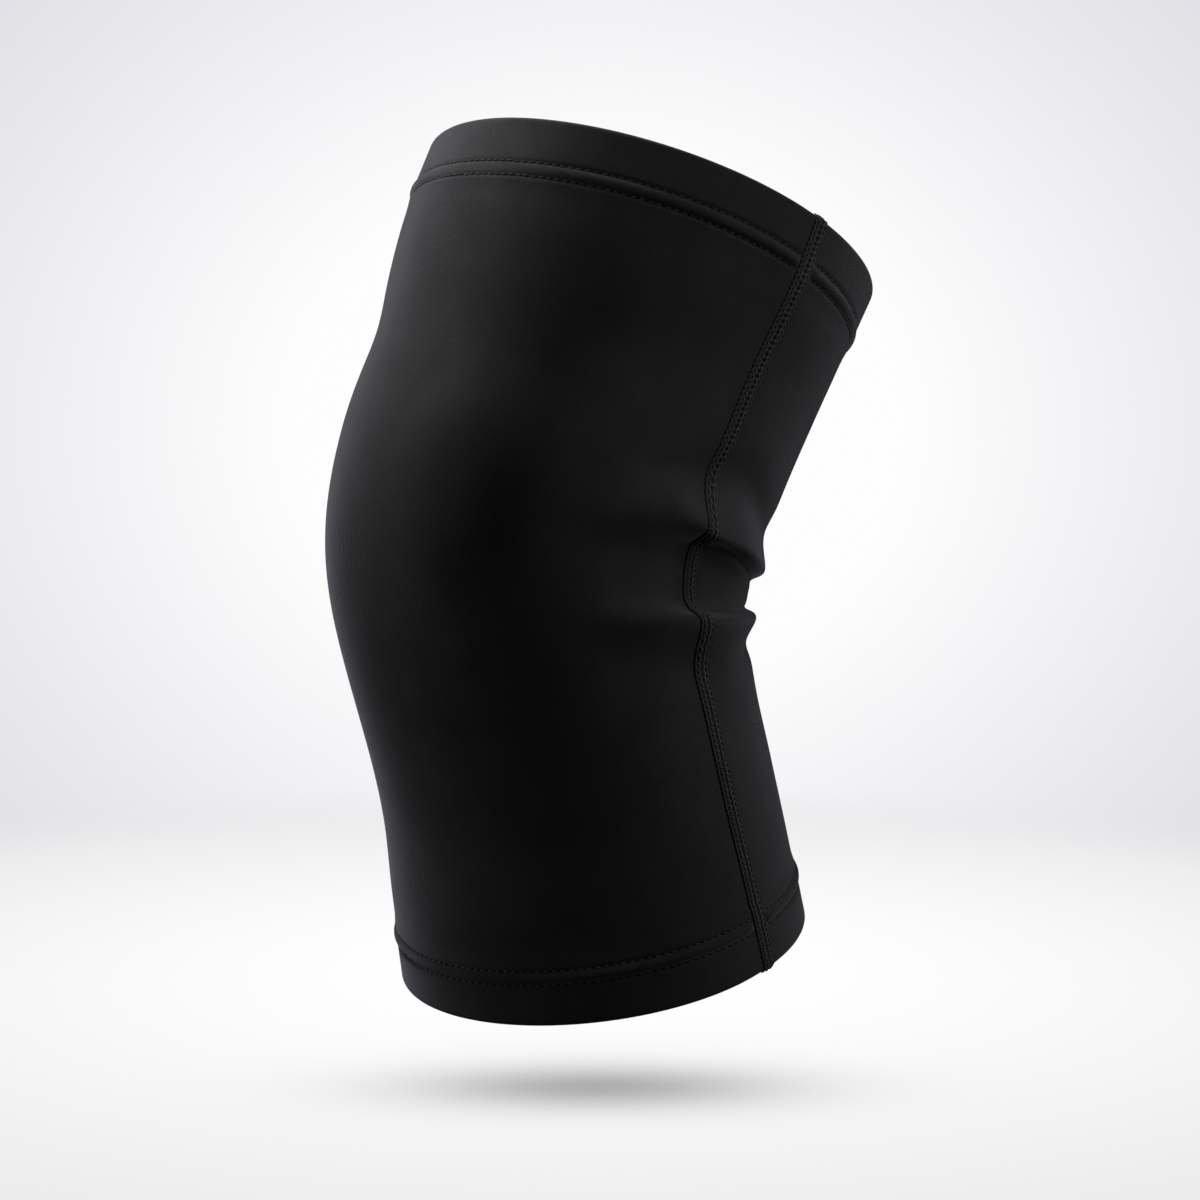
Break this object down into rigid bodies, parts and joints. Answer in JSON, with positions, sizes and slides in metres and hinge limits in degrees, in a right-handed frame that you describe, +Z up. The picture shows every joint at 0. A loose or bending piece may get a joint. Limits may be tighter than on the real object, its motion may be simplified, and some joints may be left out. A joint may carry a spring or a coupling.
{
  "type": "knee sleeve",
  "caption": "Plain knit knee sleeve in its worn shape on a bent knee, open at thigh and calf, with turned-in hems and flat side seams.",
  "frame": {"origin": "on the leg's axis in the middle of the knee's bend", "axes": "+Z up, the kneecap faces -Y, the back of the knee +Y, the visible side seam +X"},
  "size_m": [0.1456, 0.1803, 0.274],
  "materials": {
    "cloth": "matt black stretch knit",
    "seam_thread": "black flatlock thread"
  },
  "bodies": {
    "root": {"front_panel": "cloth", "back_panel": "cloth", "right_seam": "seam_thread", "left_seam": "seam_thread"}
  },
  "joints": []
}
